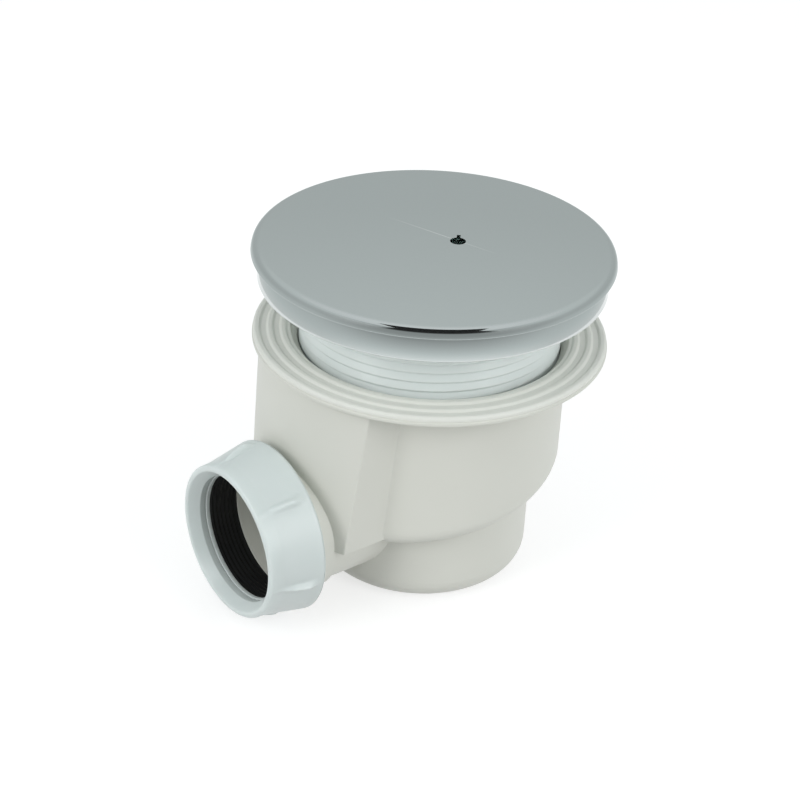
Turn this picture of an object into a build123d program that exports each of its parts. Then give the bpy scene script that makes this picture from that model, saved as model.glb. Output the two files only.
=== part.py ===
from build123d import *
import os
from math import cos, radians, sin, sqrt

# Shower trap for a tray with a round waste hole, in millimetres.
# Z is the drain axis and points up. The origin is on that axis, in the seat of the tray gasket on the
# body's flange. The outlet leaves sideways along -X. The clamp collar stands backed off, ready for a tray.

# Tray gasket
tray_gasket_base = 1.0
tray_gasket_rib = 0.6
tray_gasket_rib_count = 3
tray_gasket_rib_width = 2.6
tray_gasket_rib_crest = 1.2
tray_gasket_land = 1.0
tray_gasket_setback = 0.3
tray_gasket_clearance = 0.35

# Clamp collar and its gasket
clamp_gap = 15.1
collar_gasket_thickness = 1.2
collar_gasket_setback = 1.8
collar_gasket_clearance = 0.4
collar_flange_diameter = 102.0
collar_flange_thickness = 1.6
collar_flange_seat_width = 6.0
collar_flange_dish = 1.2
collar_length = 24.5
collar_wall = 2.7
collar_lip_width = 2.6
collar_lip_thickness = 1.6
thread_diameter = 84.2
thread_pitch = 3.1
thread_depth = 0.8
thread_flank = 0.6
thread_clearance = 0.25
thread_runout = 1.0

# Cover
cover_diameter = 115.0
cover_rim_height = 3.0
cover_rim_land = 0.1
cover_rim_chamfer = 0.4
cover_height = 11.8
cover_standing = 12.0
cover_wall = 2.2
cover_rim_overhang = 2.0
skirt_waist = 1.2
skirt_wall = 1.6
skirt_foot_chamfer = 0.6
cover_rib_count = 4
cover_rib_thickness = 2.0
cover_rib_length = 14.0
cover_rib_setback = 1.2
cover_tongue_depth = 8.0
cover_tongue_clearance = 0.5
keyhole_diameter = 5.0
keyhole_notch_width = 1.2
keyhole_notch_length = 1.9
keyhole_offset = 7.5
keyhole_bearing = -24.0
keyhole_turn = 48.0

# Dip tube and its ring
dip_clearance = 0.3
dip_plug_height = 12.0
dip_plug_wall = 2.6
dip_funnel_height = 9.0
dip_tube_diameter = 47.6
dip_tube_wall = 2.0
dip_tube_length = 61.0
ring_groove_depth = 1.5
ring_groove_width = 2.2
ring_clearance = 0.05
ring_lip = 0.8
lift_bar_width = 5.0
lift_bar_height = 3.0

# Body: flange, socket, bowl and cup
body_wall = 2.2
flange_diameter = 113.8
flange_thickness = 1.5
flange_edge_chamfer = 0.4
roof_wall = 0.6
socket_lead_in = 1.9
socket_depth = 16.0
floor_level = -50.05
floor_fall = 10.9
floor_round = 6.4
cup_diameter = 71.8
cup_bottom = -81.7
cup_round = 8.0
weir_level = -22.5

# Body: side chamber
chamber_floor = -52.6
chamber_reach_top = 54.5
chamber_reach_bottom = 57.0
chamber_width_top = 60.0
chamber_width_bottom = 52.4
chamber_corner_round = 0.6
chamber_root_round = 0.6

# Body: outlet pipe, shank and spigot
outlet_level = -52.8
pipe_diameter = 40.0
pipe_clearance = 0.5
pipe_stop_step = 0.6
pipe_stop_land = 9.0
pipe_wall = 2.4
shank_setback = 6.0
shank_stand = 2.0
shank_step = 1.2
spigot_step = 3.5
spigot_bevel = 0.6
spigot_length = 7.0

# Outlet nut, washer and seal
nut_overlap = 0.2
nut_thread_clearance = 0.3
nut_back_wall = 4.0
nut_band = 4.5
nut_band_flare = 0.3
nut_lip_width = 1.8
nut_lip_thickness = 1.8
nut_lip_chamfer = 0.9
nut_funnel_depth = 3.7
nut_funnel_rise = 2.9
grip_count = 6
grip_first = 48.5
grip_crest_front = 0.2
grip_crest_back = 1.8
grip_round_front = 0.8
grip_round_back = 2.4
grip_top = 1.1
grip_end_step = 0.1
grip_run_in = 5.0
washer_thickness = 1.4
washer_clearance = 0.3
seal_clearance = 0.2
seal_flange_gap = 0.1
seal_flange_thickness = 4.2
seal_tail = 6.0
seal_ridge_depth = 0.4
seal_ridge_count = 7

# Radii and levels of the drain that follow from these sizes
thread_crest = thread_diameter / 2
thread_root = thread_crest - thread_depth
thread_ridge_count = int((collar_length - 2 * thread_runout) / thread_pitch)
collar_flange_radius = collar_flange_diameter / 2
collar_seat_radius = collar_flange_radius - collar_flange_seat_width
collar_bore_radius = thread_root - collar_wall
collar_lip_radius = collar_bore_radius - collar_lip_width
socket_radius = thread_crest + thread_clearance
socket_mouth_radius = socket_radius + socket_lead_in
bowl_radius = socket_radius + body_wall
flange_radius = flange_diameter / 2
cup_radius = cup_diameter / 2
tray_gasket_radius = flange_radius - tray_gasket_setback
tray_gasket_bore_radius = socket_mouth_radius + tray_gasket_clearance
tray_gasket_width = tray_gasket_radius - tray_gasket_bore_radius
tray_gasket_rib_room = tray_gasket_width - tray_gasket_land - tray_gasket_rib_width
tray_gasket_rib_spacing = tray_gasket_rib_room / (tray_gasket_rib_count - 1)
tray_gasket_top = tray_gasket_base + tray_gasket_rib
collar_gasket_level = tray_gasket_top + clamp_gap
collar_flange_level = collar_gasket_level + collar_gasket_thickness
collar_flange_top = collar_flange_level + collar_flange_thickness
collar_end = collar_flange_level - collar_length
cover_face = collar_flange_top + cover_standing
cover_foot = cover_face - cover_height
cover_ceiling = cover_face - cover_wall
cover_radius = cover_diameter / 2
skirt_radius = cover_radius - cover_rim_overhang
skirt_waist_radius = skirt_radius - skirt_waist
skirt_inside_radius = skirt_waist_radius - skirt_wall
cover_rim_underside = cover_face - cover_rim_height
cover_rim_round = cover_rim_height - cover_rim_chamfer - cover_rim_land
cover_rib_radius = collar_flange_radius - cover_rib_setback
cover_tongue_radius = collar_bore_radius - cover_tongue_clearance
cover_tongue_end = collar_flange_top - cover_tongue_depth
dip_seat = collar_end + collar_lip_thickness
dip_plug_radius = collar_bore_radius - dip_clearance
dip_plug_top = dip_seat + dip_plug_height
dip_tube_radius = dip_tube_diameter / 2
dip_neck_radius = collar_lip_radius - dip_clearance
dip_funnel_end = dip_seat - dip_funnel_height
dip_tube_end = dip_seat - dip_tube_length
ring_level = dip_seat + dip_plug_height / 2
ring_radius = dip_plug_radius - ring_groove_depth + ring_clearance
ring_lip_radius = collar_bore_radius - ring_clearance
ring_height = ring_groove_width - 2 * ring_clearance

# Radii of the outlet, and distances along it from the drain axis
joint_radius = pipe_diameter / 2 + pipe_clearance
pipe_bore_radius = pipe_diameter / 2 - pipe_stop_step
pipe_radius = pipe_bore_radius + pipe_wall
shank_radius = pipe_radius + shank_step
spigot_radius = joint_radius + spigot_step
seal_bore = joint_radius + seal_flange_gap
seal_socket_radius = (spigot_radius + seal_bore) / 2 + seal_clearance
nut_bore = spigot_radius + nut_thread_clearance
nut_back_radius = nut_bore + nut_back_wall
grip_reach = nut_back_radius + grip_top
nut_funnel_radius = joint_radius + nut_funnel_rise
nut_mouth_radius = nut_funnel_radius + nut_lip_width
washer_radius = nut_bore - washer_clearance
shank_start = chamber_reach_bottom - shank_setback
shank_end = chamber_reach_bottom + shank_stand
spigot_end = shank_end + spigot_length
seal_tail_end = spigot_end - seal_tail
pipe_stop = seal_tail_end - pipe_stop_land
seal_step = spigot_end + seal_flange_gap
seal_face = seal_step + seal_flange_thickness
washer_inner = seal_face + seal_flange_gap
nut_back = shank_end - nut_overlap
nut_shoulder = washer_inner + washer_thickness
nut_lip_end = nut_shoulder + nut_lip_thickness
nut_mouth = nut_lip_end + nut_funnel_depth
nut_band_end = nut_mouth - nut_band
nut_band_radius = nut_mouth_radius + nut_band_flare
seal_ridge_pitch = (seal_face - seal_tail_end - seal_flange_gap) / seal_ridge_count

# The bowl's floor falls towards the outlet, and the outlet's own section has its first axis along -X
floor_normal = (-sin(radians(floor_fall)), 0, cos(radians(floor_fall)))
floor_along = (cos(radians(floor_fall)), 0, sin(radians(floor_fall)))
outlet_section = Plane(origin=(0, 0, outlet_level), x_dir=(-1, 0, 0), z_dir=(0, 1, 0))
outlet_axis = Axis((0, 0, outlet_level), (-1, 0, 0))
outlet_cross = Plane(origin=(0, 0, outlet_level), x_dir=(0, -1, 0), z_dir=(-1, 0, 0))

os.makedirs("parts", exist_ok=True)


# Bowl: a round pot with a sloping floor, used for the outside and for the space inside
def bowl_form(radius, floor):
    floor_plane = Plane(origin=(0, 0, floor), x_dir=floor_along, z_dir=floor_normal)
    with BuildPart() as bowl:
        Cylinder(radius, 2 * abs(floor), align=(Align.CENTER, Align.CENTER, Align.MAX))
        split(bisect_by=floor_plane, keep=Keep.TOP)
    return bowl.part


# Chamber outline in plan: two straight sides along the outlet and an end that is round about the drain axis
def chamber_outline(level, inset):
    depth_share = level / chamber_floor
    reach = chamber_reach_top + (chamber_reach_bottom - chamber_reach_top) * depth_share - inset
    width = chamber_width_top + (chamber_width_bottom - chamber_width_top) * depth_share
    side = width / 2 - inset
    corner = -sqrt(reach**2 - side**2)
    with BuildSketch(Plane.XY.offset(level)) as outline:
        with BuildLine():
            Polyline((corner, -side), (0, -side), (0, side), (corner, side))
            ThreePointArc((corner, side), (-reach, 0), (corner, -side))
        make_face()
        fillet(outline.vertices().group_by(Axis.X)[0], chamber_corner_round)
    return outline.sketch


# Chamber: drafted from its top outline to its floor outline
def chamber_form(top, floor, inset):
    with BuildPart() as chamber:
        loft(sections=[chamber_outline(top, inset), chamber_outline(floor, inset)], ruled=True)
    return chamber.part


# The bowl's foot is round outside and bevelled inside
with BuildPart() as bowl_outside:
    add(bowl_form(bowl_radius, floor_level))
    fillet(bowl_outside.edges().filter_by(GeomType.ELLIPSE), floor_round)

with BuildPart() as bowl_inside:
    add(bowl_form(socket_radius, floor_level + body_wall))
    chamfer(bowl_inside.edges().filter_by(GeomType.ELLIPSE), floor_round / 2)

chamber_outside = chamber_form(0, chamber_floor, 0)
chamber_inside = chamber_form(-flange_thickness - roof_wall, chamber_floor + body_wall, body_wall)

# Space inside the body, from the socket's mouth to the outlet, before the cup's wall stands up in it.
# The socket keeps its own round wall where the chamber lies behind it.
with BuildPart() as water_space:
    add(chamber_inside)
    with BuildSketch(Plane.XY.offset(-socket_depth)):
        Circle(bowl_radius)
    extrude(amount=socket_depth, mode=Mode.SUBTRACT)
    add(bowl_inside.part)
    with BuildSketch(Plane.XZ):
        with BuildLine():
            Polyline(
                (0, 0),
                (socket_mouth_radius, 0),
                (socket_radius, -socket_lead_in),
                (0, -socket_lead_in),
                close=True,
            )
        make_face()
    revolve(axis=Axis.Z)
    with BuildSketch(outlet_section):
        with BuildLine():
            Polyline(
                (0, 0),
                (0, pipe_bore_radius),
                (pipe_stop, pipe_bore_radius),
                (pipe_stop, joint_radius),
                (seal_tail_end, joint_radius),
                (seal_tail_end, seal_socket_radius),
                (spigot_end, seal_socket_radius),
                (spigot_end, 0),
                close=True,
            )
        make_face()
    revolve(axis=outlet_axis)

# Cup: outside, and the space inside up to the weir
with BuildPart() as cup_outside:
    with BuildSketch(Plane.XY.offset(weir_level)):
        Circle(cup_radius)
    extrude(amount=cup_bottom - weir_level)
    fillet(cup_outside.edges().group_by(Axis.Z)[0], cup_round)

with BuildPart() as cup_space:
    with BuildSketch(Plane.XY.offset(weir_level)):
        Circle(cup_radius - body_wall)
    extrude(amount=cup_bottom + body_wall - weir_level)
    chamfer(cup_space.edges().group_by(Axis.Z)[0], cup_round / 2)

# Trap body, one moulding
with BuildPart() as trap_body:
    add(bowl_outside.part)
    add(chamber_outside)
    roots = trap_body.edges().filter_by(
        lambda e: abs(Vector(e.center().X, e.center().Y).length - bowl_radius) < chamber_root_round
        and e.bounding_box().size.Z > abs(chamber_floor) / 2
    )
    fillet(roots, chamber_root_round)
    with BuildSketch(outlet_section):
        with BuildLine():
            Polyline(
                (0, 0),
                (0, pipe_radius),
                (shank_start, pipe_radius),
                (shank_start, shank_radius),
                (shank_end, shank_radius),
                (shank_end + spigot_bevel, spigot_radius),
                (spigot_end, spigot_radius),
                (spigot_end, 0),
                close=True,
            )
        make_face()
    revolve(axis=outlet_axis)
    with BuildSketch(Plane.XY.offset(-flange_thickness)):
        Circle(flange_radius)
    extrude(amount=flange_thickness)
    add(water_space.part, mode=Mode.SUBTRACT)
    add(cup_outside.part)
    add(cup_space.part, mode=Mode.SUBTRACT)
    flange_rim = trap_body.edges().filter_by(GeomType.CIRCLE)
    chamfer(flange_rim.filter_by(lambda e: abs(e.radius - flange_radius) < 1e-6), flange_edge_chamfer)

# Tray gasket: flat ring with blunt ribs on top, the outer one at the ring's edge
with BuildPart() as tray_gasket:
    with BuildSketch(Plane.XZ):
        with Locations((tray_gasket_radius, 0)):
            Rectangle(tray_gasket_width, tray_gasket_base, align=(Align.MAX, Align.MIN))
        for rib in range(tray_gasket_rib_count):
            rib_radius = tray_gasket_radius - tray_gasket_rib_width / 2 - rib * tray_gasket_rib_spacing
            with BuildLine():
                Polyline(
                    (rib_radius - tray_gasket_rib_width / 2, tray_gasket_base),
                    (rib_radius - tray_gasket_rib_crest / 2, tray_gasket_top),
                    (rib_radius + tray_gasket_rib_crest / 2, tray_gasket_top),
                    (rib_radius + tray_gasket_rib_width / 2, tray_gasket_base),
                    close=True,
                )
            make_face()
    revolve(axis=Axis.Z)

# Clamp collar: dished flange, tube with buttress ridges, and an inside lip that carries the dip tube
with BuildPart() as clamp_collar:
    with BuildSketch(Plane.XZ):
        with BuildLine():
            Polyline(
                (collar_bore_radius, collar_flange_top - collar_flange_dish),
                (collar_seat_radius, collar_flange_top),
                (collar_flange_radius, collar_flange_top),
                (collar_flange_radius, collar_flange_level),
                (thread_root, collar_flange_level),
                (thread_root, collar_end),
                (collar_lip_radius, collar_end),
                (collar_lip_radius, dip_seat),
                (collar_bore_radius, dip_seat),
                close=True,
            )
        make_face()
        for ridge in range(thread_ridge_count):
            ridge_foot = collar_end + thread_runout + ridge * thread_pitch
            with BuildLine():
                Polyline(
                    (thread_root, ridge_foot),
                    (thread_crest, ridge_foot + thread_flank),
                    (thread_root, ridge_foot + thread_pitch),
                    close=True,
                )
            make_face()
    revolve(axis=Axis.Z)

# Collar gasket: flat ring under the collar's flange
with BuildPart() as collar_gasket:
    with BuildSketch(Plane.XY.offset(collar_gasket_level)):
        Circle(collar_flange_radius - collar_gasket_setback)
        Circle(thread_crest + collar_gasket_clearance, mode=Mode.SUBTRACT)
    extrude(amount=collar_gasket_thickness)

# Dip tube: plug with a ring groove, funnel, tube, and a bar to lift it by
with BuildPart() as dip_tube:
    with BuildSketch(Plane.XZ):
        with BuildLine():
            Polyline(
                (dip_plug_radius, dip_plug_top),
                (dip_plug_radius, dip_seat),
                (dip_neck_radius, dip_seat),
                (dip_neck_radius, collar_end),
                (dip_tube_radius, dip_funnel_end),
                (dip_tube_radius, dip_tube_end),
                (dip_tube_radius - dip_tube_wall, dip_tube_end),
                (dip_tube_radius - dip_tube_wall, dip_funnel_end + dip_tube_wall / 2),
                (dip_neck_radius - dip_tube_wall, collar_end + dip_tube_wall / 2),
                (dip_neck_radius - dip_tube_wall, ring_level),
                (dip_plug_radius - dip_plug_wall, dip_plug_top),
                close=True,
            )
        make_face()
        with Locations((dip_plug_radius, ring_level)):
            Rectangle(2 * ring_groove_depth, ring_groove_width, mode=Mode.SUBTRACT)
    revolve(axis=Axis.Z)
    with Locations((0, 0, dip_plug_top)):
        Box(
            2 * dip_plug_radius - dip_plug_wall,
            lift_bar_width,
            lift_bar_height,
            align=(Align.CENTER, Align.CENTER, Align.MAX),
        )

# Lip ring in the dip tube's groove, with its lip against the collar's bore
with BuildPart() as dip_tube_ring:
    with BuildSketch(Plane.XZ):
        with BuildLine():
            Polyline(
                (ring_radius, ring_level - ring_height / 2),
                (ring_lip_radius - ring_lip, ring_level - ring_height / 2),
                (ring_lip_radius, ring_level),
                (ring_lip_radius - ring_lip, ring_level + ring_height / 2),
                (ring_radius, ring_level + ring_height / 2),
                close=True,
            )
        make_face()
    revolve(axis=Axis.Z)

# Cover: disc with a rounded rim, a skirt that flares to its foot, ribs that stand on the collar,
# and a keyhole to lift it by
with BuildPart() as cover:
    with BuildSketch(Plane.XZ):
        with BuildLine():
            Polyline(
                (skirt_radius, cover_foot),
                (skirt_inside_radius, cover_foot),
                (skirt_inside_radius, cover_ceiling),
                (0, cover_ceiling),
                (0, cover_face),
                (cover_radius, cover_face),
                (cover_radius, cover_rim_underside),
                (skirt_waist_radius, cover_rim_underside),
            )
            TangentArc(
                (skirt_radius, cover_foot),
                (skirt_waist_radius, cover_rim_underside),
                tangent=(0, 1),
            )
        make_face()
    revolve(axis=Axis.Z)
    rims = cover.edges().filter_by(GeomType.CIRCLE)
    outer_rims = rims.filter_by(lambda e: abs(e.radius - cover_radius) < 1e-6)
    chamfer(outer_rims.sort_by(Axis.Z)[0], cover_rim_chamfer)
    fillet(outer_rims.sort_by(Axis.Z)[-1], cover_rim_round)
    feet = cover.edges().filter_by(GeomType.CIRCLE).group_by(Axis.Z)[0]
    chamfer(feet, skirt_foot_chamfer)
    for rib in range(cover_rib_count):
        with BuildSketch(Plane.XZ.rotated((0, 0, (rib + 0.5) * 360 / cover_rib_count))) as rib_outline:
            with BuildLine():
                Polyline(
                    (cover_rib_radius, cover_ceiling),
                    (cover_rib_radius, collar_flange_top),
                    (cover_tongue_radius, collar_flange_top),
                    (cover_tongue_radius, cover_tongue_end),
                    (cover_rib_radius - cover_rib_length, cover_tongue_end),
                    (cover_rib_radius - cover_rib_length, cover_ceiling),
                    close=True,
                )
            make_face()
        extrude(amount=cover_rib_thickness / 2, both=True)
    keyhole_plane = Plane(
        origin=(
            keyhole_offset * cos(radians(keyhole_bearing)),
            keyhole_offset * sin(radians(keyhole_bearing)),
            cover_face,
        ),
        x_dir=(cos(radians(keyhole_turn)), sin(radians(keyhole_turn)), 0),
        z_dir=(0, 0, 1),
    )
    with BuildSketch(keyhole_plane):
        Circle(keyhole_diameter / 2)
        Rectangle(
            keyhole_diameter / 2 + keyhole_notch_length,
            keyhole_notch_width,
            align=(Align.MIN, Align.CENTER),
        )
    extrude(amount=-cover_wall, mode=Mode.SUBTRACT)

# Outlet nut: a straight front band, a flared back with grip ridges, a funnel mouth and an inside lip
with BuildPart() as outlet_nut:
    with BuildSketch(outlet_section):
        with BuildLine():
            Polyline(
                (nut_back, 0),
                (nut_back, nut_back_radius),
                (nut_band_end, nut_band_radius),
                (nut_mouth, nut_mouth_radius),
                (nut_mouth, 0),
                close=True,
            )
        make_face()
    revolve(axis=outlet_axis)
    for grip in range(grip_count):
        bearing = radians(grip_first + grip * 360 / grip_count)
        for station, surface_radius, grip_round, crest in (
            (nut_back, nut_back_radius, grip_round_back, grip_crest_back),
            (nut_band_end, nut_band_radius, grip_round_front, grip_crest_front),
        ):
            centre_radius = surface_radius + crest - grip_round
            with BuildSketch(outlet_cross.offset(station)):
                with Locations((centre_radius * cos(bearing), centre_radius * sin(bearing))):
                    Circle(grip_round)
        loft(ruled=True)
    with BuildSketch(outlet_section):
        with BuildLine():
            Polyline(
                (nut_back + grip_run_in, grip_reach),
                (nut_mouth, grip_reach),
                (nut_mouth, 0),
                (nut_back, 0),
                (nut_back, nut_back_radius + grip_end_step),
            )
            TangentArc(
                (nut_back + grip_run_in, grip_reach),
                (nut_back, nut_back_radius + grip_end_step),
                tangent=(-1, 0),
            )
        make_face()
    revolve(axis=outlet_axis, mode=Mode.INTERSECT)
    with BuildSketch(outlet_section):
        with BuildLine():
            Polyline(
                (nut_back, 0),
                (nut_back, nut_bore),
                (nut_shoulder, nut_bore),
                (nut_shoulder, joint_radius),
                (nut_lip_end, joint_radius),
                (nut_mouth, nut_funnel_radius),
                (nut_mouth, 0),
                close=True,
            )
        make_face()
    revolve(axis=outlet_axis, mode=Mode.SUBTRACT)
    mouth_edges = outlet_nut.edges().filter_by(GeomType.CIRCLE).group_by(Axis.X)[0]
    chamfer(mouth_edges.sort_by(SortBy.RADIUS)[-1], nut_lip_chamfer)

# Slip washer between the nut's lip and the seal
with BuildPart() as slip_washer:
    with BuildSketch(outlet_section):
        with Locations((nut_shoulder, joint_radius)):
            Rectangle(washer_thickness, washer_radius - joint_radius, align=(Align.MAX, Align.MIN))
    revolve(axis=outlet_axis)

# Outlet seal: a flange against the spigot's end, a tail in its mouth, and ridges round its bore
with BuildPart() as outlet_seal:
    with BuildSketch(outlet_section):
        with BuildLine():
            Polyline(
                (seal_tail_end + seal_flange_gap, seal_bore + seal_ridge_depth),
                (seal_tail_end + seal_flange_gap, seal_socket_radius - seal_clearance),
                (seal_step, seal_socket_radius - seal_clearance),
                (seal_step, washer_radius),
                (seal_face, washer_radius),
                (seal_face, seal_bore + seal_ridge_depth),
                close=True,
            )
        make_face()
        for ridge in range(seal_ridge_count):
            ridge_start = seal_tail_end + seal_flange_gap + ridge * seal_ridge_pitch
            with BuildLine():
                Polyline(
                    (ridge_start, seal_bore + seal_ridge_depth),
                    (ridge_start + seal_ridge_pitch / 2, seal_bore),
                    (ridge_start + seal_ridge_pitch, seal_bore + seal_ridge_depth),
                    close=True,
                )
            make_face()
    revolve(axis=outlet_axis)

# Each piece goes to its own file, under its own name
pieces = {
    "trap_body": trap_body,
    "tray_gasket": tray_gasket,
    "clamp_collar": clamp_collar,
    "collar_gasket": collar_gasket,
    "dip_tube": dip_tube,
    "dip_tube_ring": dip_tube_ring,
    "cover": cover,
    "outlet_nut": outlet_nut,
    "slip_washer": slip_washer,
    "outlet_seal": outlet_seal,
}
for name, piece in pieces.items():
    piece.part.label = name
    export_step(piece.part, f"parts/{name}.step")
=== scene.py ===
from math import atan2, cos, pi, radians, sin, tan

import bpy
from mathutils import Matrix, Vector


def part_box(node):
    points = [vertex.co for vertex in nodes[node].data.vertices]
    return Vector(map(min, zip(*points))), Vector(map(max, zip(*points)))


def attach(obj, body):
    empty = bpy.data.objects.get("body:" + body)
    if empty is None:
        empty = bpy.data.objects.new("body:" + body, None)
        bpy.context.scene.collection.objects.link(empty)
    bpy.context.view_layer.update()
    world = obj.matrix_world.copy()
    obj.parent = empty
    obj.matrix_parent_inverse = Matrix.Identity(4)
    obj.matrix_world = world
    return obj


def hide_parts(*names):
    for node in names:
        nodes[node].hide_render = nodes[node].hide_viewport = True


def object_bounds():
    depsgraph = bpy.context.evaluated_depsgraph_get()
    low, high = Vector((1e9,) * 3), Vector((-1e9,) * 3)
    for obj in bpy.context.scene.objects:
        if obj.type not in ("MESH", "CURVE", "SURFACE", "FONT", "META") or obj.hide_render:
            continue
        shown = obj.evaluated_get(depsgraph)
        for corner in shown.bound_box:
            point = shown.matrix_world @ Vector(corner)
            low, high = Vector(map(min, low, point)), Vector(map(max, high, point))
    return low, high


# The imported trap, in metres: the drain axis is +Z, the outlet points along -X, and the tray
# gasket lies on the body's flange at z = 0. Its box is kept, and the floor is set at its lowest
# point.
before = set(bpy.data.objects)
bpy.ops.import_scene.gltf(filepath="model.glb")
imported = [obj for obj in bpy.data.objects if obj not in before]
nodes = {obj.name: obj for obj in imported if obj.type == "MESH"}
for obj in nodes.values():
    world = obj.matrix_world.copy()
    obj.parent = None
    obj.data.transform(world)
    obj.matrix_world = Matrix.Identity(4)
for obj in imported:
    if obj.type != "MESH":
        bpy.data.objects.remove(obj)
cad_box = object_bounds()


# Trap body: one moulding in off-white polypropylene, a bowl whose floor falls to the outlet,
# with a deep cup, a side chamber and the outlet pipe. The solid has its true form, so it is
# kept, and gets the finish of a moulding: satin, faintly mottled, with the mould's fine grain.
class Value:
    """A socket in a finish's nodes. Arithmetic on it adds Math nodes."""

    def __init__(self, tree, socket=None):
        self.tree = tree
        self.socket = socket

    def node(self, kind, settings=None, sockets=None, out=0):
        """Add a node, set it up, fill or join its sockets, and give one of its outputs."""
        made = self.tree.nodes.new(kind)
        for name, setting in (settings or {}).items():
            if name == "stops":
                self.set_stops(made.color_ramp.elements, setting)
            else:
                setattr(made, name, setting)
        for name, value in (sockets or {}).items():
            self.join(value, made.inputs[name])
        return Value(self.tree, made.outputs[out])

    def set_stops(self, elements, stops):
        """A ramp's stops, each a share of its length and a colour, in place of its own two."""
        elements.remove(elements[1])
        elements[0].position, elements[0].color = stops[0]
        for position, colour in stops[1:]:
            elements.new(position).color = colour

    def join(self, value, socket):
        if isinstance(value, Value):
            self.tree.links.new(value.socket, socket)
        else:
            socket.default_value = value

    def math(self, operation, first, second):
        return self.node("ShaderNodeMath", {"operation": operation}, {0: first, 1: second})

    def __add__(self, other):
        return self.math("ADD", self, other)

    def __sub__(self, other):
        return self.math("SUBTRACT", self, other)

    def __rsub__(self, other):
        return self.math("SUBTRACT", other, self)

    def __mul__(self, other):
        return self.math("MULTIPLY", self, other)

    def __lt__(self, other):
        return self.math("LESS_THAN", self, other)

    def __abs__(self):
        return self.node("ShaderNodeMath", {"operation": "ABSOLUTE"}, {0: self})

    __radd__ = __add__
    __rmul__ = __mul__


def new_finish(name):
    """A material and its shader."""
    finish = bpy.data.materials.new(name)
    finish.use_nodes = True
    return finish, finish.node_tree.nodes["Principled BSDF"]


def place_on(finish):
    """The place on the piece that a finish's patterns read."""
    return Value(finish.node_tree).node("ShaderNodeTexCoord", out="Object")


def noise(place, size, detail=2.0):
    """Cloudy noise from 0 to 1 with patches of about this size."""
    sockets = {"Vector": place, "Scale": 1 / size, "Detail": detail}
    return place.node("ShaderNodeTexNoise", sockets=sockets)


def between(share, first, second):
    """A colour between two: a Mix node takes them in sockets 6 and 7 and gives output 2."""
    ends = {"Factor": share, 6: first, 7: second}
    return share.node("ShaderNodeMix", {"data_type": "RGBA"}, ends, out=2)


def moulded(name, colour, shade, roughness, grain_depth, specular=0.5, translucence=0.0):
    """Moulded plastic or rubber: a faint mottle in its colour and gloss, and a fine grain."""
    mottle_size = 0.022
    mottle_detail = 3.0
    mottle_gloss = 0.12
    grain_size = 0.0007
    grain_gloss = 0.06
    light_depth = 0.0025
    finish, shader = new_finish(name)
    place = place_on(finish)
    mottle = noise(place, mottle_size, mottle_detail)
    grain = noise(place, grain_size)
    gloss = roughness + mottle_gloss * (mottle - 0.5) + grain_gloss * (grain - 0.5)
    skin = {"Strength": 1.0, "Distance": grain_depth, "Height": grain}
    place.join(between(mottle, shade, colour), shader.inputs["Base Color"])
    place.join(gloss, shader.inputs["Roughness"])
    place.join(place.node("ShaderNodeBump", sockets=skin), shader.inputs["Normal"])
    shader.inputs["Specular IOR Level"].default_value = specular
    shader.inputs["Subsurface Weight"].default_value = translucence
    shader.inputs["Subsurface Radius"].default_value = (1, 1, 1)
    shader.inputs["Subsurface Scale"].default_value = light_depth
    return finish


def dress(piece, finish):
    """The piece has this finish and no other."""
    piece.data.materials.clear()
    piece.data.materials.append(finish)


body_finish = moulded(
    "satin_body_plastic",
    colour=(0.69, 0.695, 0.64, 1),
    shade=(0.66, 0.665, 0.61, 1),
    roughness=0.42,
    grain_depth=0.000012,
)
dress(nodes["trap_body"], body_finish)


# Outlet seal: a black rubber ring in the spigot's mouth, with seven fine ridges round its bore
# that grip the waste pipe. It is moulded in one piece and held in by the washer and the nut.
merge_gap = 0.000002


def rounded(corners, points=7):
    """An outline through corners, each (along, across, round), with arcs at the rounded ones."""
    outline = []
    for number, (x, y, bend) in enumerate(corners):
        corner = Vector((x, y))
        if not bend:
            outline.append(corner)
            continue
        back = (Vector(corners[number - 1][:2]) - corner).normalized()
        on = (Vector(corners[(number + 1) % len(corners)][:2]) - corner).normalized()
        half = back.angle(on) / 2
        centre = corner + (back + on).normalized() * bend / sin(half)
        start = corner + back * bend / tan(half) - centre
        end = corner + on * bend / tan(half) - centre
        turn = start.angle_signed(end)
        for step in range(points):
            outline.append(centre + Matrix.Rotation(-turn * step / (points - 1), 2) @ start)
    return outline


def drawn(name, outline, place):
    """A closed outline, set in the frame by place, drawn as a wire and left in edit mode."""
    bpy.ops.object.select_all(action="DESELECT")
    path = [place @ Vector((x, y, 0)) for x, y in outline]
    path.append(path[0])
    bpy.ops.mesh.primitive_plane_add(size=0.001)
    wire = bpy.context.object
    wire.name = name
    bpy.ops.object.mode_set(mode="EDIT")
    bpy.ops.mesh.merge(type="CENTER")
    bpy.ops.transform.translate(value=path[0])
    for before, after in zip(path, path[1:]):
        bpy.ops.mesh.extrude_vertices_move(TRANSFORM_OT_translate={"value": after - before})
    bpy.ops.mesh.select_all(action="SELECT")
    bpy.ops.mesh.remove_doubles(threshold=merge_gap)
    return wire


def turned(name, outline, place, facets=192, smooth=32.0):
    """A ring or shell of revolution: the outline is drawn and spun round its place's X axis."""
    piece = drawn(name, outline, place)
    centre = place @ Vector((0, 0, 0))
    axis = place.to_3x3() @ Vector((1, 0, 0))
    bpy.ops.mesh.spin(steps=facets, angle=2 * pi, center=centre, axis=axis)
    bpy.ops.mesh.select_all(action="SELECT")
    bpy.ops.mesh.remove_doubles(threshold=merge_gap)
    bpy.ops.mesh.normals_make_consistent(inside=False)
    bpy.ops.object.mode_set(mode="OBJECT")
    bpy.ops.object.shade_smooth_by_angle(angle=radians(smooth))
    return piece


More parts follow.
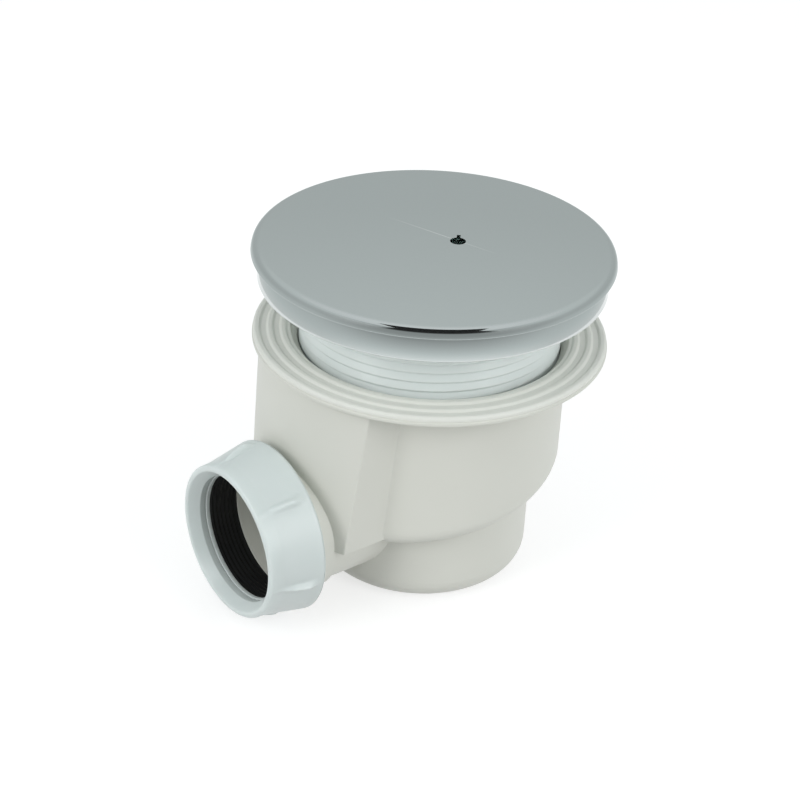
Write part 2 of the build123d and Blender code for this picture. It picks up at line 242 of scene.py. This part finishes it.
def stands_for(piece, node, finish):
    """The piece is shown in the place of its solid, with that slot's finish."""
    dress(piece, finish)
    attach(piece, "root")
    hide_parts(node)


seal_low, seal_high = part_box("outlet_seal")
outlet_level = (seal_low.z + seal_high.z) / 2
outlet_line = Matrix.Translation((0, 0, outlet_level)) @ Matrix.Rotation(pi, 4, "Z")
seal_end = -seal_high.x
seal_face = -seal_low.x
seal_radius = seal_high.y
seal_tail_radius = 0.0223
seal_flange = 0.0042
seal_bore = 0.0206
seal_round = 0.0003
seal_mouth_round = 0.0002
seal_ridges = 7
seal_ridge_depth = 0.0003
seal_groove_round = 0.0001
seal_pitch = (seal_face - seal_end) / seal_ridges
seal_root = seal_bore + seal_ridge_depth
seal_corners = [
    (seal_end, seal_tail_radius, seal_round),
    (seal_face - seal_flange, seal_tail_radius, 0),
    (seal_face - seal_flange, seal_radius, seal_round),
    (seal_face, seal_radius, seal_round),
    (seal_face, seal_root, seal_mouth_round),
]
for ridge in range(seal_ridges):
    ridge_front = seal_face - ridge * seal_pitch
    seal_corners.append((ridge_front - seal_pitch / 2, seal_bore, seal_round))
    seal_corners.append((ridge_front - seal_pitch, seal_root, seal_groove_round))
outlet_seal = turned("rubber_outlet_seal", rounded(seal_corners), outlet_line)
rubber_finish = moulded(
    "black_rubber",
    colour=(0.006, 0.006, 0.006, 1),
    shade=(0.004, 0.004, 0.004, 1),
    roughness=0.50,
    grain_depth=0.00001,
    specular=0.22,
)
stands_for(outlet_seal, "outlet_seal", rubber_finish)


# Slip washer: a hard flat ring between the seal and the nut, so that the nut turns without
# dragging the rubber round. It is punched from the same pale plastic as the nut.
def flat_ring(low, high, bore, radius, edge):
    """A flat ring's outline from low to high along its line, with rounded edges."""
    corners = [(low, bore, edge), (low, radius, edge), (high, radius, edge), (high, bore, edge)]
    return rounded(corners)


washer_low, washer_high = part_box("slip_washer")
washer_hole = 0.0205
washer_edge = 0.00025
washer_outline = flat_ring(-washer_high.x, -washer_low.x, washer_hole, washer_high.y, washer_edge)
slip_washer = turned("slip_washer_ring", washer_outline, outlet_line)
nut_finish = moulded(
    "pale_blue_nut_plastic",
    colour=(0.66, 0.715, 0.705, 1),
    shade=(0.63, 0.685, 0.675, 1),
    roughness=0.34,
    grain_depth=0.000008,
    translucence=0.7,
)
stands_for(slip_washer, "slip_washer", nut_finish)


# Outlet nut: moulded in pale polypropylene, with a straight band at its mouth, a flared back
# and six grips that start as a point behind the band and swell towards the back. It screws
# on the spigot by hand and squeezes the washer against the seal.
def select_points(piece, wanted):
    """In edit mode, the piece's points that are wanted are selected and no others."""
    bpy.ops.object.mode_set(mode="EDIT")
    bpy.ops.mesh.select_mode(type="VERT")
    bpy.ops.mesh.select_all(action="DESELECT")
    bpy.ops.object.mode_set(mode="OBJECT")
    for point in piece.data.vertices:
        point.select = wanted(point.co)
    bpy.ops.object.mode_set(mode="EDIT")


nut_low, nut_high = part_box("outlet_nut")
nut_back = -nut_high.x
nut_mouth = -nut_low.x
nut_back_radius = 0.0283
nut_back_round = 0.0005
nut_band = 0.0045
nut_band_radius = 0.0255
nut_mouth_radius = 0.0252
nut_mouth_round = 0.0010
nut_clearance = 0.0003
nut_bore = seal_radius + nut_clearance
nut_bore_round = 0.0004
nut_shoulder = -washer_low.x
nut_shoulder_round = 0.0002
nut_lip = 0.0022
nut_lip_hole = washer_hole + nut_clearance
nut_lip_round = 0.0003
nut_funnel_radius = 0.0234
nut_funnel_round = 0.0008
nut_facets = 480
nut_rows = 28
grip_length = nut_mouth - nut_band - nut_back
nut_corners = [
    (nut_back, nut_bore, nut_bore_round),
    (nut_back, nut_back_radius, nut_back_round),
]
for row in range(1, nut_rows):
    share = row / nut_rows
    row_radius = nut_back_radius + (nut_band_radius - nut_back_radius) * share
    nut_corners.append((nut_back + grip_length * share, row_radius, 0))
nut_corners += [
    (nut_mouth - nut_band, nut_band_radius, 0),
    (nut_mouth, nut_mouth_radius, nut_mouth_round),
    (nut_mouth, nut_funnel_radius, nut_funnel_round),
    (nut_shoulder + nut_lip, nut_lip_hole, nut_lip_round),
    (nut_shoulder, nut_lip_hole, nut_shoulder_round),
    (nut_shoulder, nut_bore, nut_shoulder_round),
]
nut_outline = rounded(nut_corners)
outlet_nut = turned("grip_nut", nut_outline, outlet_line, facets=nut_facets, smooth=40.0)

grip_count = 6
grip_first = radians(48.5)
grip_skin = 0.0005
crest_slack = 1.1
crest_reach = crest_slack * pi / nut_facets * nut_back_radius
grip_stages = [
    {"front": 0.97, "back": 0.42, "lift": 0.00050, "spread": 0.0013},
    {"front": 0.86, "back": 0.34, "lift": 0.00050, "spread": 0.0017},
    {"front": 0.72, "back": 0.27, "lift": 0.00045, "spread": 0.0022},
    {"front": 0.56, "back": 0.22, "lift": 0.00035, "spread": 0.0027},
]


def crest_of(outward, stage):
    """A test for the nut's points on one grip's crest, between two shares of its length."""
    sideways = Vector((0, outward.z, -outward.y))

    def on_crest(point):
        arm = Vector((0, point.y, point.z - outlet_level))
        outside = arm.dot(outward) > nut_bore + grip_skin
        in_line = abs(arm.dot(sideways)) < crest_reach
        share = (-point.x - nut_back) / grip_length
        return outside and in_line and stage["back"] < share < stage["front"]

    return on_crest


for grip in range(grip_count):
    bearing = grip_first + grip * 2 * pi / grip_count
    outward = Vector((0, -cos(bearing), sin(bearing)))
    for stage in grip_stages:
        select_points(outlet_nut, crest_of(outward, stage))
        bpy.ops.transform.translate(
            value=outward * stage["lift"],
            use_proportional_edit=True,
            use_proportional_connected=True,
            proportional_edit_falloff="SMOOTH",
            proportional_size=stage["spread"],
        )
bpy.ops.object.mode_set(mode="OBJECT")
stands_for(outlet_nut, "outlet_nut", nut_finish)


# Tray gasket: a soft ring on the body's flange, with three blunt ribs on top that press into
# the underside of the shower tray. It is moulded in pale rubber and lies loose on the flange.
gasket_low, gasket_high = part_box("tray_gasket")
drain_line = Matrix.Rotation(-pi / 2, 4, "Y")
gasket_bore = 0.0446
gasket_edge = 0.0002
gasket_web = 0.0010
gasket_land = 0.0010
gasket_rib_width = 0.0026
gasket_rib_crest = 0.0012
gasket_rib_root_round = 0.0003
gasket_rib_crest_round = 0.0006
gasket_ribs = 3
gasket_rib_room = gasket_high.x - gasket_bore - gasket_land - gasket_rib_width
gasket_rib_spacing = gasket_rib_room / (gasket_ribs - 1)
gasket_corners = [
    (gasket_low.z, gasket_bore, gasket_edge),
    (gasket_low.z, gasket_high.x, gasket_edge),
]
for rib in range(gasket_ribs):
    crest = gasket_high.x - gasket_rib_width / 2 - rib * gasket_rib_spacing
    gasket_corners += [
        (gasket_web, crest + gasket_rib_width / 2, gasket_rib_root_round),
        (gasket_high.z, crest + gasket_rib_crest / 2, gasket_rib_crest_round),
        (gasket_high.z, crest - gasket_rib_crest / 2, gasket_rib_crest_round),
        (gasket_web, crest - gasket_rib_width / 2, gasket_rib_root_round),
    ]
gasket_corners.append((gasket_web, gasket_bore, gasket_edge))
gasket_outline = rounded(gasket_corners, points=5)
tray_gasket = turned("ribbed_tray_gasket", gasket_outline, drain_line, facets=256)
gasket_finish = moulded(
    "soft_pale_gasket",
    colour=(0.775, 0.785, 0.735, 1),
    shade=(0.745, 0.755, 0.705, 1),
    roughness=0.48,
    grain_depth=0.00001,
)
stands_for(tray_gasket, "tray_gasket", gasket_finish)


# Clamp collar: a threaded tube with a dished flange, moulded in a pale plastic like the nut's.
# It screws down into the body's socket and clamps the tray between the two gaskets. The
# thread is a real helix, with a steep flank below and a long one above.
def change_by(piece, tool, operation):
    """Join the tool to the piece, or cut it out of it, and take the tool away."""
    bpy.ops.object.select_all(action="DESELECT")
    bpy.context.view_layer.objects.active = piece
    piece.select_set(True)
    bpy.ops.object.modifier_add(type="BOOLEAN")
    change = piece.modifiers[-1]
    change.operation = operation
    change.solver = "EXACT"
    change.object = tool
    bpy.ops.object.modifier_apply(modifier=change.name)
    bpy.data.objects.remove(tool)


collar_low, collar_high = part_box("clamp_collar")
collar_flange = 0.0016
collar_edge = 0.0004
collar_seat = 0.0450
collar_seat_round = 0.0008
collar_dish = 0.0012
collar_bore = 0.0386
collar_lip_hole = 0.0360
collar_lip = 0.0016
collar_lip_round = 0.0003
thread_root = 0.0413
collar_under = collar_high.z - collar_flange
collar_corners = [
    (collar_high.z - collar_dish, collar_bore, collar_edge),
    (collar_high.z, collar_seat, collar_seat_round),
    (collar_high.z, collar_high.x, collar_edge),
    (collar_under, collar_high.x, collar_edge),
    (collar_under, thread_root, collar_lip_round),
    (collar_low.z, thread_root, collar_edge),
    (collar_low.z, collar_lip_hole, collar_lip_round),
    (collar_low.z + collar_lip, collar_lip_hole, collar_lip_round),
    (collar_low.z + collar_lip, collar_bore, collar_lip_round),
]
clamp_collar = turned("threaded_collar", rounded(collar_corners), drain_line)

thread_crest = 0.0421
thread_crest_round = 0.0002
thread_pitch = 0.0031
thread_gap = 0.0002
thread_flank = 0.0007
thread_depth_in = 0.0005
thread_run_in = 0.0006
thread_facets = 128
thread_smooth = radians(14)
thread_start = collar_low.z + thread_run_in
thread_last_turn = 0.5
thread_turns = int((collar_under - thread_start) / thread_pitch) + thread_last_turn
thread_corners = [
    (thread_start, thread_root - thread_depth_in, 0),
    (thread_start + thread_gap, thread_root, 0),
    (thread_start + thread_flank, thread_crest, thread_crest_round),
    (thread_start + thread_pitch - thread_gap, thread_root, 0),
    (thread_start + thread_pitch - thread_gap, thread_root - thread_depth_in, 0),
]
thread = drawn("thread_ridge", rounded(thread_corners), drain_line)
bpy.ops.object.mode_set(mode="OBJECT")
bpy.ops.object.modifier_add(type="SCREW")
helix = thread.modifiers[-1]
helix.angle = 2 * pi * thread_turns
helix.screw_offset = thread_pitch * thread_turns
helix.steps = int(thread_facets * thread_turns)
helix.render_steps = helix.steps
bpy.ops.object.modifier_apply(modifier=helix.name)
bpy.ops.object.mode_set(mode="EDIT")
bpy.ops.mesh.select_all(action="SELECT")
bpy.ops.mesh.fill_holes(sides=0)
bpy.ops.mesh.select_all(action="SELECT")
bpy.ops.mesh.normals_make_consistent(inside=False)
bpy.ops.object.mode_set(mode="OBJECT")
change_by(clamp_collar, thread, "UNION")
bpy.ops.object.shade_smooth_by_angle(angle=thread_smooth)
collar_finish = moulded(
    "white_collar_plastic",
    colour=(0.78, 0.835, 0.825, 1),
    shade=(0.75, 0.805, 0.795, 1),
    roughness=0.36,
    grain_depth=0.000008,
    translucence=0.7,
)
stands_for(clamp_collar, "clamp_collar", collar_finish)


# Collar gasket: a flat soft ring, cut from pale rubber, under the collar's flange. It seals
# the top of the tray and lets the flange turn without marking it.
ring_low, ring_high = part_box("collar_gasket")
ring_clearance = 0.0004
ring_bore = thread_crest + ring_clearance
ring_edge = 0.0003
ring_outline = flat_ring(ring_low.z, ring_high.z, ring_bore, ring_high.x, ring_edge)
collar_gasket = turned("flat_collar_gasket", ring_outline, drain_line)
stands_for(collar_gasket, "collar_gasket", gasket_finish)


# Dip tube and its lip ring: the lift-out tube that dips into the cup's water, and the black
# ring that seals its plug in the collar. Both are inside, true as the solids made them.
dress(nodes["dip_tube"], collar_finish)
dress(nodes["dip_tube_ring"], rubber_finish)


# Cover: a plated plastic disc with a rounded rim and a skirt that flares to its foot. It
# stands on the collar's flange by four ribs, whose tongues keep it central, and lifts off by
# its keyhole. The plating is mirror bright, with a thin line on its face painted lighter and
# rougher, strongest in its middle and fading towards both ends.
cover_low, cover_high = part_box("cover")
cover_face = cover_high.z
cover_radius = cover_high.x
cover_wall = 0.0022
cover_under = cover_face - cover_wall
cover_under_round = 0.0008
cover_foot = 0.0197
cover_foot_round = 0.0006
cover_smooth = 32.0
rim_height = 0.0030
rim_round = 0.0025
rim_draft = rim_height * tan(radians(12))
rim_edge = 0.0001
rim_under = cover_face - rim_height
face_rings = [0.0020, 0.0005]
skirt_radius = 0.0555
skirt_lean = radians(16)
skirt_bend = (rim_under - cover_foot) / sin(skirt_lean)
skirt_top = skirt_radius - skirt_bend * (1 - cos(skirt_lean))
skirt_inside = 0.0527
skirt_steps = 14
cove_round = 0.0012
cove_steps = 3
cover_corners = [(cover_face, 0, 0)]
for inset in face_rings:
    cover_corners.append((cover_face, cover_radius - rim_round - inset, 0))
cover_corners += [
    (cover_face, cover_radius - rim_draft, rim_round),
    (rim_under, cover_radius, rim_edge),
    (rim_under, skirt_top, cove_round),
]
for step in range(cove_steps, skirt_steps):
    lean = skirt_lean * (1 - step / skirt_steps)
    height = cover_foot + skirt_bend * sin(lean)
    cover_corners.append((height, skirt_radius - skirt_bend * (1 - cos(lean)), 0))
cover_corners += [
    (cover_foot, skirt_radius, cover_foot_round),
    (cover_foot, skirt_inside, cover_foot_round),
    (cover_under, skirt_inside, cover_under_round),
    (cover_under, 0, 0),
]
cover_outline = rounded(cover_corners, points=9)
cover = turned("plated_cover", cover_outline, drain_line, facets=256, smooth=cover_smooth)

keyhole_radius = 0.0025
keyhole_facets = 64
keyhole_offset = 0.0075
keyhole_bearing = radians(-24)
cutter_depth = 0.01
notch_width = 0.0012
notch_length = 0.0019
notch_turn = radians(48)
keyhole = Vector((cos(keyhole_bearing), sin(keyhole_bearing), 0)) * keyhole_offset
keyhole.z = cover_face
notch_reach = keyhole_radius + notch_length
notch_way = Vector((cos(notch_turn), sin(notch_turn), 0))
bpy.ops.object.select_all(action="DESELECT")
bpy.ops.mesh.primitive_cylinder_add(
    vertices=keyhole_facets,
    radius=keyhole_radius,
    depth=cutter_depth,
    location=keyhole,
)
change_by(cover, bpy.context.object, "DIFFERENCE")
bpy.ops.object.select_all(action="DESELECT")
bpy.ops.mesh.primitive_cube_add(
    size=1,
    location=keyhole + notch_way * notch_reach / 2,
    rotation=(0, 0, notch_turn),
    scale=(notch_reach, notch_width, cutter_depth),
)
change_by(cover, bpy.context.object, "DIFFERENCE")

rib_count = 4
rib_thickness = 0.0020
rib_inner = 0.0358
rib_outer = 0.0498
rib_foot = collar_high.z
rib_root = 0.0003
rib_top = cover_under + rib_root
tongue_outer = 0.0381
tongue_end = cover_low.z
near = 0.000001
bpy.ops.object.select_all(action="DESELECT")
bpy.ops.mesh.primitive_cube_add(
    size=1,
    location=((rib_inner + rib_outer) / 2, 0, (rib_foot + rib_top) / 2),
    scale=(rib_outer - rib_inner, rib_thickness, rib_top - rib_foot),
)
rib = bpy.context.object
bpy.ops.object.transform_apply()
bpy.ops.object.mode_set(mode="EDIT")
bpy.ops.mesh.bisect(plane_co=(tongue_outer, 0, 0), plane_no=(1, 0, 0))
select_points(rib, lambda point: point.x < tongue_outer + near and point.z < rib_foot + near)
bpy.ops.mesh.extrude_region_move(TRANSFORM_OT_translate={"value": (0, 0, tongue_end - rib_foot)})
bpy.ops.object.mode_set(mode="OBJECT")
for number in range(rib_count):
    bpy.ops.object.select_all(action="DESELECT")
    bpy.context.view_layer.objects.active = rib
    rib.select_set(True)
    bpy.ops.object.duplicate()
    rib_copy = bpy.context.object
    rib_turn = (number + 0.5) * 2 * pi / rib_count
    bpy.ops.object.mode_set(mode="EDIT")
    bpy.ops.mesh.select_all(action="SELECT")
    bpy.ops.transform.rotate(value=rib_turn, orient_axis="Z", center_override=(0, 0, 0))
    bpy.ops.object.mode_set(mode="OBJECT")
    change_by(cover, rib_copy, "UNION")
bpy.data.objects.remove(rib)
bpy.ops.object.shade_smooth_by_angle(angle=radians(cover_smooth))


def coordinate(place, axis):
    """A place's X, Y or Z."""
    return place.node("ShaderNodeSeparateXYZ", sockets={"Vector": place}, out=axis)


plating_colour = (0.63, 0.66, 0.655, 1)
plating_roughness = 0.055
haze_size = 0.03
haze_roughness = 0.03
# A thin line on the cover's face is painted a lighter metal colour and rougher, fading from its
# middle to both ends.
hairline_colour = (0.88, 0.89, 0.88, 1)
hairline_roughness = 0.1
hairline_half_width = 0.00018
hairline_depth = 0.0002
hairline_start = Vector((-0.0016, 0.0236, 0))
hairline_end = Vector((0.01183, -0.01771, 0))
hairline_span = hairline_end - hairline_start
plating, plating_shader = new_finish("bright_plating")
plating_place = place_on(plating)
hairline_lay = {
    "Vector": plating_place,
    "Location": (hairline_start + hairline_end) / 2,
    "Rotation": (0, 0, atan2(hairline_span.y, hairline_span.x)),
}
hairline_place = plating_place.node("ShaderNodeMapping", {"vector_type": "TEXTURE"}, hairline_lay)
hairline_along = abs(coordinate(hairline_place, "X"))
hairline_across = abs(coordinate(hairline_place, "Y"))
hairline_sunk = cover_face - coordinate(hairline_place, "Z")
# The line's mask: a thin strip within a fraction of a millimetre of the face, strongest in the
# middle.
hairline_mask = (hairline_across < hairline_half_width) * (hairline_along < hairline_span.length / 2)
hairline_mask = hairline_mask * (hairline_sunk < hairline_depth) * (1 - hairline_along * (2 / hairline_span.length))
haze = noise(plating_place, haze_size, detail=3.0)
plating_gloss = plating_roughness + haze_roughness * haze + hairline_roughness * hairline_mask
plating_metal = between(hairline_mask, plating_colour, hairline_colour)
plating_place.join(plating_metal, plating_shader.inputs["Base Color"])
plating_place.join(plating_gloss, plating_shader.inputs["Roughness"])
plating_shader.inputs["Metallic"].default_value = 1
stands_for(cover, "cover", plating)


# Floor and surround: a white floor under the cup, which the camera and the plating see, and a
# grey sheet just below it, which alone throws light back up on the trap. The surround is pale
# and brightens upwards.
floor_level = cad_box[0].z
floor_size = 30
floor_colour = (0.45, 0.45, 0.45, 1)
floor_roughness = 0.9
floor_light = (1, 1, 1, 1)
bounce_drop = 0.002
floor_sheets = [
    {"name": "studio_floor", "level": floor_level, "glow": 0.64, "seen": True},
    {"name": "grey_bounce_floor", "level": floor_level - bounce_drop, "glow": 0.14, "seen": False},
]
for sheet in floor_sheets:
    bpy.ops.object.select_all(action="DESELECT")
    bpy.ops.mesh.primitive_plane_add(size=floor_size, location=(0, 0, sheet["level"]))
    floor = bpy.context.object
    floor.name = sheet["name"]
    floor.visible_camera = sheet["seen"]
    floor.visible_glossy = sheet["seen"]
    floor.visible_diffuse = not sheet["seen"]
    floor.visible_shadow = not sheet["seen"]
    floor_finish, floor_shader = new_finish(sheet["name"] + "_paper")
    floor_shader.inputs["Base Color"].default_value = floor_colour
    floor_shader.inputs["Roughness"].default_value = floor_roughness
    floor_shader.inputs["Emission Color"].default_value = floor_light
    floor_shader.inputs["Emission Strength"].default_value = sheet["glow"]
    dress(floor, floor_finish)

surround_low = (0.39, 0.405, 0.405, 1)
surround_high = (0.78, 0.82, 0.83, 1)
surround = bpy.data.worlds.new("pale_surround")
bpy.context.scene.world = surround
surround.use_nodes = True
backdrop = surround.node_tree.nodes["Background"]
sky = Value(surround.node_tree).node("ShaderNodeTexCoord", out="Generated")
sky_colour = between(coordinate(sky, "Z"), surround_low, surround_high)
sky.join(sky_colour, backdrop.inputs["Color"])
backdrop.inputs["Strength"].default_value = 1.0


# Lights: a soft box on each side of the camera, and a dark card behind it that holds back the
# light from the front. A grey screen round the trap glows with painted light that only the
# plating mirrors, and so grades the chrome's reflections. A dark zone in it and a dark hood
# above give the black line in the cover's rim.
def facing_in(bearing, elevation, distance):
    """A place round the drain that looks at it: the bearing is from -Y, positive towards +X."""
    return (
        Matrix.Rotation(bearing, 4, "Z")
        @ Matrix.Translation((0, -distance * cos(elevation), distance * sin(elevation)))
        @ Matrix.Rotation(pi / 2 - elevation, 4, "X")
    )


view_bearing = radians(-39.4)
softbox_elevation = radians(24)
softbox_distance = 1.1
softbox_width = 0.46
softbox_height = 0.75
for side, turn, power in [("left", radians(-48), 4.7), ("right", radians(51), 4.6)]:
    bpy.ops.object.light_add(type="AREA")
    softbox = bpy.context.object
    softbox.name = side + "_softbox"
    softbox.data.shape = "RECTANGLE"
    softbox.data.size = softbox_width
    softbox.data.size_y = softbox_height
    softbox.data.energy = power
    softbox.matrix_world = facing_in(view_bearing + turn, softbox_elevation, softbox_distance)


def share_from(value, low, high):
    """From 0 where the value is low to 1 where it is high."""
    limits = {"Value": value, "From Min": low, "From Max": high}
    return value.node("ShaderNodeMapRange", sockets=limits)


screen_radius = 0.25
screen_top = 0.31
screen_height = screen_top - floor_level
screen_facets = 96
bpy.ops.object.select_all(action="DESELECT")
bpy.ops.mesh.primitive_cylinder_add(
    vertices=screen_facets,
    radius=screen_radius,
    depth=screen_height,
    end_fill_type="NOTHING",
    location=(0, 0, (screen_top + floor_level) / 2),
)
screen = bpy.context.object
screen.name = "grey_screen"
screen.visible_camera = False
screen.visible_diffuse = False
screen.visible_shadow = False

dark_colour = (0.02, 0.02, 0.02, 1)
dark_bearing = view_bearing + radians(5.4)
dark_way = (sin(dark_bearing) / screen_radius, -cos(dark_bearing) / screen_radius, 0)
dark_edge = radians(34)
dark_core = radians(29)
dark_rise_low = 0.48
dark_rise_high = 0.66
front_edge = radians(70)
front_core = radians(20)
front_lift = 0.35
front_fall = 2.7
front_rise_high = 0.26
screen_foot_colour = (0.71, 0.74, 0.74, 1)
screen_head_colour = (0.64, 0.69, 0.69, 1)
screen_tint = (0.96, 1.03, 1.03)
screen_shades = [
    (-0.048, 0.64),
    (-0.007, 0.57),
    (0.020, 0.53),
    (0.060, 0.50),
    (0.136, 0.53),
    (0.198, 0.62),
]
screen_stops = [(0, screen_foot_colour)]
for level, shade in screen_shades:
    tinted = [tint * shade for tint in screen_tint]
    screen_stops.append(((level - floor_level) / screen_height, (*tinted, 1)))
screen_stops.append((1, screen_head_colour))
# The screen glows with painted light: darker towards a low point and lighter again above, brighter
# low and dimmer higher ahead of the camera, with a dark zone ahead.
screen_finish, screen_shader = new_finish("glowing_grey_screen")
screen_place = place_on(screen_finish)
rise = 0.5 + coordinate(screen_place, "Z") * (1 / screen_height)
grades = rise.node("ShaderNodeValToRGB", {"stops": screen_stops}, {"Fac": rise})
compared = {0: screen_place, 1: dark_way}
ahead = rise.node("ShaderNodeVectorMath", {"operation": "DOT_PRODUCT"}, compared, out="Value")
front = share_from(ahead, cos(front_edge), cos(front_core))
front_rise = rise.math("MINIMUM", rise, front_rise_high)
dark = share_from(ahead, cos(dark_edge), cos(dark_core))
dark = dark * share_from(rise, dark_rise_low, dark_rise_high)
strength = {
    0: between(dark, grades, dark_colour),
    "Scale": 1 + front * (front_lift - front_fall * front_rise),
}
glow = rise.node("ShaderNodeVectorMath", {"operation": "SCALE"}, strength)
rise.join(glow, screen_shader.inputs["Emission Color"])
screen_shader.inputs["Emission Strength"].default_value = 1
screen_shader.inputs["Base Color"].default_value = (0, 0, 0, 1)
screen_shader.inputs["Roughness"].default_value = 1
dress(screen, screen_finish)

card_finish, card_shader = new_finish("dark_paper")
card_shader.inputs["Base Color"].default_value = dark_colour
card_shader.inputs["Roughness"].default_value = 1
card_place = facing_in(view_bearing, elevation=radians(16), distance=0.85)
hood_place = facing_in(dark_bearing, elevation=radians(64), distance=0.365)
dark_cards = [
    {"name": "dark_card", "place": card_place, "size": (1.2, 0.42), "shades": True},
    {"name": "dark_hood", "place": hood_place, "size": (0.24, 0.25), "shades": False},
]
for sheet in dark_cards:
    bpy.ops.object.select_all(action="DESELECT")
    bpy.ops.mesh.primitive_plane_add(size=1)
    card = bpy.context.object
    card.name = sheet["name"]
    card.matrix_world = sheet["place"] @ Matrix.Diagonal((*sheet["size"], 1, 1))
    card.visible_camera = False
    card.visible_diffuse = sheet["shades"]
    card.visible_shadow = sheet["shades"]
    dress(card, card_finish)


# The camera stands between the outlet and the near side and looks down on the cover, as the
# photograph was taken: a long lens about 0.6 m away, aimed slightly off the drain.
view_height = radians(28.564)
view_distance = 0.620
aim_pan = radians(-0.759)
aim_tilt = radians(-2.095)
aim_roll = radians(-3.311)
picture_width = 800
focal_pixels = 1931.2
sensor_width = 36.0
bpy.ops.object.camera_add()
camera = bpy.context.object
camera.data.sensor_width = sensor_width
camera.data.lens = focal_pixels / picture_width * sensor_width
camera.matrix_world = (
    facing_in(view_bearing, view_height, view_distance)
    @ Matrix.Rotation(-aim_pan, 4, "Y")
    @ Matrix.Rotation(aim_tilt, 4, "X")
    @ Matrix.Rotation(-aim_roll, 4, "Z")
)
bpy.context.scene.camera = camera
bpy.context.scene.view_settings.view_transform = "Standard"
